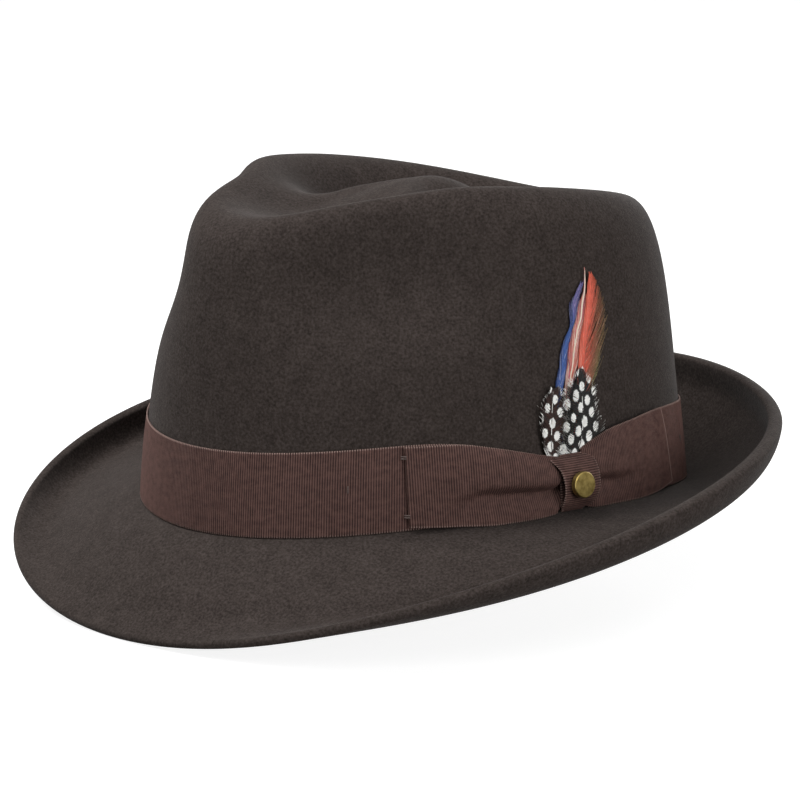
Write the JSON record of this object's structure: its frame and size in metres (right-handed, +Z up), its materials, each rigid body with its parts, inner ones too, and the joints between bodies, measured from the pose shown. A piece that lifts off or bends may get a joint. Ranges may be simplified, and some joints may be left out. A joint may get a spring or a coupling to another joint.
{
  "type": "fedora hat",
  "caption": "Brown felt fedora with a creased crown, snapped brim, ribbon band, flat bow, brass stud and a feather mount that slides out of the bow.",
  "frame": {"origin": "centre of the head opening, in the plane of the brim break at the front and back", "axes": "+Z up through the crown, -Y to the front of the hat, +X to the wearer's left, where the bow is"},
  "size_m": [0.2792, 0.2741, 0.1497],
  "materials": {
    "felt": "soft brushed wool felt, matt",
    "ribbon": "fine ribbed grosgrain ribbon, low sheen",
    "thread": "twisted sewing thread, matt",
    "brass": "aged satin brass",
    "guinea": "black feather with rows of white spots",
    "red_barbs": "dyed feather barbs, silky",
    "blue_barbs": "dyed feather barbs, silky",
    "olive_barbs": "dyed feather barbs, silky",
    "cream_barbs": "bleached feather shaft and barbs",
    "leather": "smooth lining leather, satin",
    "reed": "extruded plastic cord",
    "satin": "woven satin, soft sheen"
  },
  "bodies": {
    "hat": {"felt_body": "felt", "hat_band": "ribbon", "tack_stitches": "thread", "bow_loop": "ribbon", "bow_tail": "ribbon", "bow_knot": "ribbon", "stud_clutch": "brass", "sweatband": "leather", "sweatband_reed": "reed", "sweatband_stitching": "thread", "sweatband_bow": "ribbon", "lining_side": "satin", "lining_tip": "satin", "lining_piping": "satin"},
    "feather_mount": {"guinea_feather_front": "guinea", "guinea_feather_rear": "guinea", "red_feather": "red_barbs", "blue_feather": "blue_barbs", "olive_feather": "olive_barbs", "cream_feather": "cream_barbs", "feather_binding": "thread"},
    "stud": {"stud_head": "brass", "stud_post": "brass"}
  },
  "joints": [
    {"name": "feather_slide", "type": "slide", "parent": "hat", "child": "feather_mount", "axis": [-0.0864, 0.0071, 0.9962], "range_m": [0, 0.025]},
    {"name": "stud_pull", "type": "slide", "parent": "hat", "child": "stud", "axis": [0.9929, -0.0811, 0.0867], "range_m": [0, 0.004]}
  ]
}
